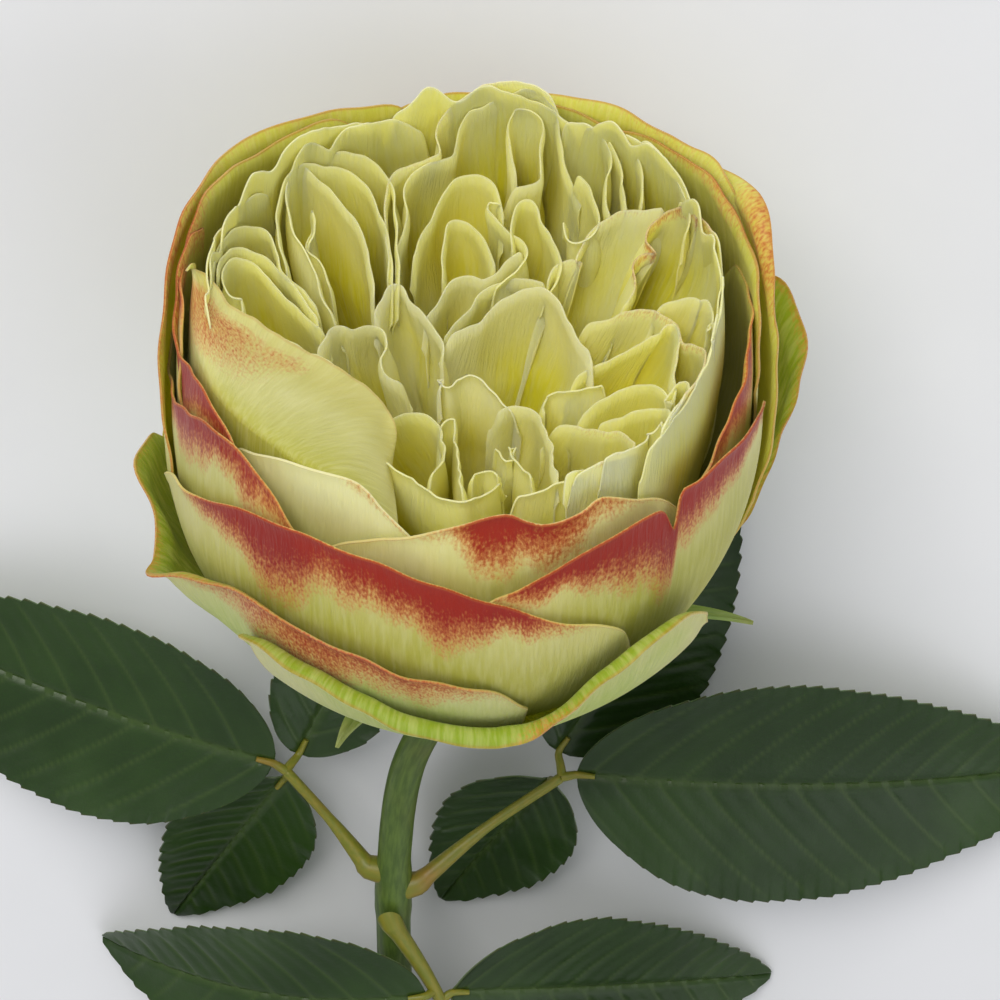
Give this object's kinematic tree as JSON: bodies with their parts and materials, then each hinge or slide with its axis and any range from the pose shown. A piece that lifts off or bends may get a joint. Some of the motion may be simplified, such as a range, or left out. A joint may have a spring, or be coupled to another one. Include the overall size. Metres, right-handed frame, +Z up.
{
  "type": "cut rose",
  "caption": "Cut garden rose lying on its side: a globular, quartered green-and-cream bloom with red-flushed outer petals, on a thorny stem with compound leaves.",
  "frame": {"origin": "the middle of the part's outline seen from above, on the surface it lies on", "axes": "+Z up; +Y along the rose from the bloom to the cut end of the stem, so the bloom faces -Y; +X to the side of the leaf with the shorter end leaflet"},
  "size_m": [0.2106, 0.3262, 0.0951],
  "materials": {
    "guard_petal": "satin petal, pale green with a red flush at the margin",
    "inner_petal": "satin petal, cream to yellow-green",
    "calyx": "satin, fresh green",
    "leaf_stalk": "satin, yellow-green with a red-brown flush",
    "leaf": "semi-gloss, dark green",
    "stem": "satin green skin, red-brown prickles"
  },
  "bodies": {
    "root": {"guard_petal_1": "guard_petal", "guard_petal_10": "guard_petal", "guard_petal_11": "guard_petal", "guard_petal_12": "guard_petal", "guard_petal_13": "guard_petal", "guard_petal_14": "guard_petal", "guard_petal_15": "guard_petal", "guard_petal_16": "guard_petal", "guard_petal_17": "guard_petal", "guard_petal_18": "guard_petal", "guard_petal_19": "guard_petal", "guard_petal_2": "guard_petal", "guard_petal_3": "guard_petal", "guard_petal_4": "guard_petal", "guard_petal_5": "guard_petal", "guard_petal_6": "guard_petal", "guard_petal_7": "guard_petal", "guard_petal_8": "guard_petal", "guard_petal_9": "guard_petal", "left_leaf_leaflet_1": "leaf", "left_leaf_leaflet_2": "leaf", "left_leaf_leaflet_3": "leaf", "left_leaf_stalk": "leaf_stalk", "lower_leaf_leaflet_1": "leaf", "lower_leaf_leaflet_2": "leaf", "lower_leaf_leaflet_3": "leaf", "lower_leaf_leaflet_4": "leaf", "lower_leaf_leaflet_5": "leaf", "lower_leaf_stalk": "leaf_stalk", "quarter_1_petal_1": "inner_petal", "quarter_1_petal_2": "inner_petal", "quarter_1_petal_3": "inner_petal", "quarter_2_petal_1": "inner_petal", "quarter_2_petal_2": "inner_petal", "quarter_3_petal_1": "inner_petal", "quarter_3_petal_2": "inner_petal", "quarter_3_petal_3": "inner_petal", "quarter_3_petal_4": "inner_petal", "quarter_4_petal_1": "inner_petal", "quarter_4_petal_2": "inner_petal", "quarter_5_petal_1": "inner_petal", "quarter_5_petal_2": "inner_petal", "quarter_5_petal_3": "inner_petal", "quarter_6_petal_1": "inner_petal", "quarter_6_petal_2": "inner_petal", "quarter_6_petal_3": "inner_petal", "quarter_7_petal_1": "inner_petal", "quarter_7_petal_2": "inner_petal", "quarter_8_petal_1": "inner_petal", "receptacle": "calyx", "right_leaf_leaflet_1": "leaf", "right_leaf_leaflet_2": "leaf", "right_leaf_leaflet_3": "leaf", "right_leaf_stalk": "leaf_stalk", "sepal_1": "calyx", "sepal_2": "calyx", "sepal_3": "calyx", "sepal_4": "calyx", "sepal_5": "calyx", "stem": "stem"}
  },
  "joints": []
}
